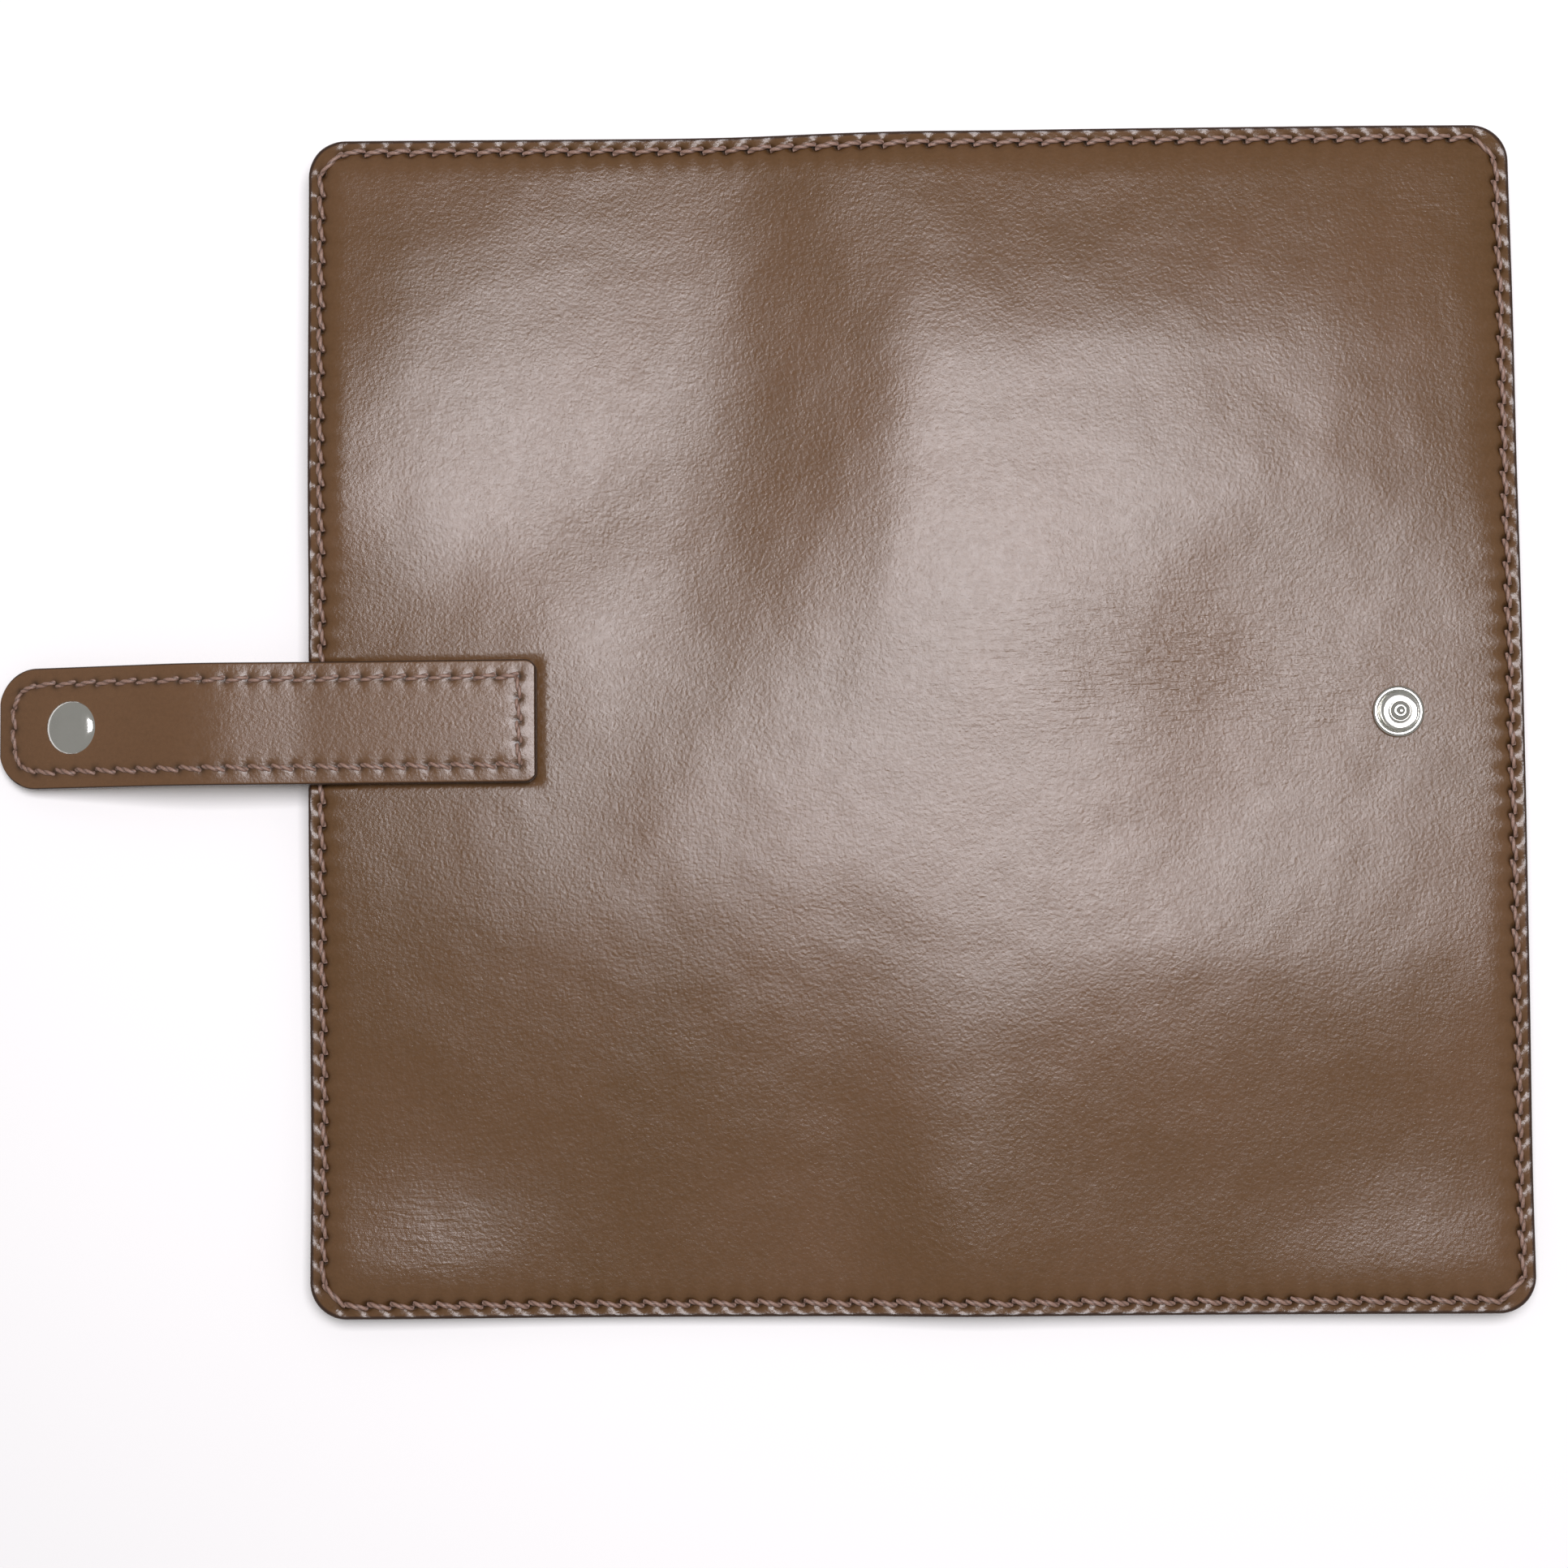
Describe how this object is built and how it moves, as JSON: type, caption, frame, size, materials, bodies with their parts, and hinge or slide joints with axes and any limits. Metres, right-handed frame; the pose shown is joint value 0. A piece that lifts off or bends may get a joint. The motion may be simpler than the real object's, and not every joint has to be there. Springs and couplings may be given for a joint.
{
  "type": "long wallet",
  "caption": "Long leather wallet that opens flat, with a hand-stitched edge, card slots, a zipped coin pocket and a strap that closes with a snap.",
  "frame": {"origin": "middle of the plane that the open wallet rests on, under the whole object with its strap", "axes": "+Y up the wallet along its spine, +X from the strapped back half to the front half, +Z out of the cover's outer leather"},
  "size_m": [0.2492, 0.193, 0.0108],
  "materials": {
    "cover_leather": "smooth vegetable-tanned, semi-matt, taupe brown",
    "lining_leather": "matt, lighter brown",
    "pocket_leather": "smooth, semi-matt brown",
    "thread": "waxed twisted thread, soft sheen",
    "zipper_tape": "woven herringbone tape",
    "zipper_metal": "nickel plated",
    "snap_metal": "polished nickel"
  },
  "bodies": {
    "back_panel": {"outer_leather_back": "cover_leather", "lining_back": "lining_leather", "bill_pocket_back": "lining_leather", "coin_pocket_back_wall": "lining_leather", "coin_pocket_front_wall": "pocket_leather", "coin_pocket_upper_strip": "pocket_leather", "coin_pocket_stitch": "thread", "zipper_tape_outer": "zipper_tape", "zipper_tape_spine": "zipper_tape", "zipper_teeth_outer": "zipper_metal", "zipper_teeth_spine": "zipper_metal", "zipper_top_stops": "zipper_metal", "zipper_bottom_stop": "zipper_metal", "strap_outer_base": "cover_leather", "strap_lining_base": "lining_leather", "strap_stitch_base": "thread", "perimeter_stitch_back": "thread"},
    "spine": {"outer_leather_spine": "cover_leather", "lining_spine": "lining_leather", "perimeter_stitch_spine": "thread"},
    "front_panel": {"outer_leather_front": "cover_leather", "lining_front": "lining_leather", "bill_pocket_front": "lining_leather", "card_slot_backing": "lining_leather", "card_slot_1": "pocket_leather", "card_slot_2": "pocket_leather", "card_slot_3": "pocket_leather", "card_slot_4": "pocket_leather", "card_slot_stitch": "thread", "perimeter_stitch_front": "thread", "snap_stud": "snap_metal", "snap_stud_post": "snap_metal"},
    "strap_bridge": {"strap_outer_bridge": "cover_leather", "strap_lining_bridge": "lining_leather", "strap_stitch_bridge": "thread"},
    "strap_tip": {"strap_outer_tip": "cover_leather", "strap_lining_tip": "lining_leather", "strap_stitch_tip": "thread", "snap_cap": "snap_metal", "snap_socket": "snap_metal", "snap_socket_spring": "snap_metal"},
    "zipper_slider": {"zipper_slider_body": "zipper_metal"},
    "zipper_pull": {"zipper_pull_tab": "zipper_metal"}
  },
  "joints": [
    {"name": "back_fold", "type": "hinge", "parent": "back_panel", "child": "spine", "pos_m": [0.0207, 0, 0.0052], "axis": [0, 1, 0], "range_deg": [0, 90]},
    {"name": "front_fold", "type": "hinge", "parent": "spine", "child": "front_panel", "pos_m": [0.0315, 0, 0.0052], "axis": [0, 1, 0], "range_deg": [0, 90]},
    {"name": "strap_wrap", "type": "hinge", "parent": "back_panel", "child": "strap_bridge", "pos_m": [-0.0728, 0, 0.0074], "axis": [0, -1, 0], "range_deg": [0, 93]},
    {"name": "strap_snap", "type": "hinge", "parent": "strap_bridge", "child": "strap_tip", "pos_m": [-0.09098, 0, 0.00835], "axis": [0, -1, 0], "range_deg": [0, 74]},
    {"name": "zipper_slide", "type": "slide", "parent": "back_panel", "child": "zipper_slider", "axis": [0, -1, 0], "range_m": [0, 0.132]},
    {"name": "zipper_pull_flip", "type": "hinge", "parent": "zipper_slider", "child": "zipper_pull", "pos_m": [0.0011, 0.066, 0.00055], "axis": [1, 0, 0], "range_deg": [0, 180]}
  ],
  "couplings": [
    {"joint": "front_fold", "follows": "back_fold", "ratio": 1},
    {"joint": "strap_snap", "follows": "strap_wrap", "ratio": 0.7957}
  ]
}
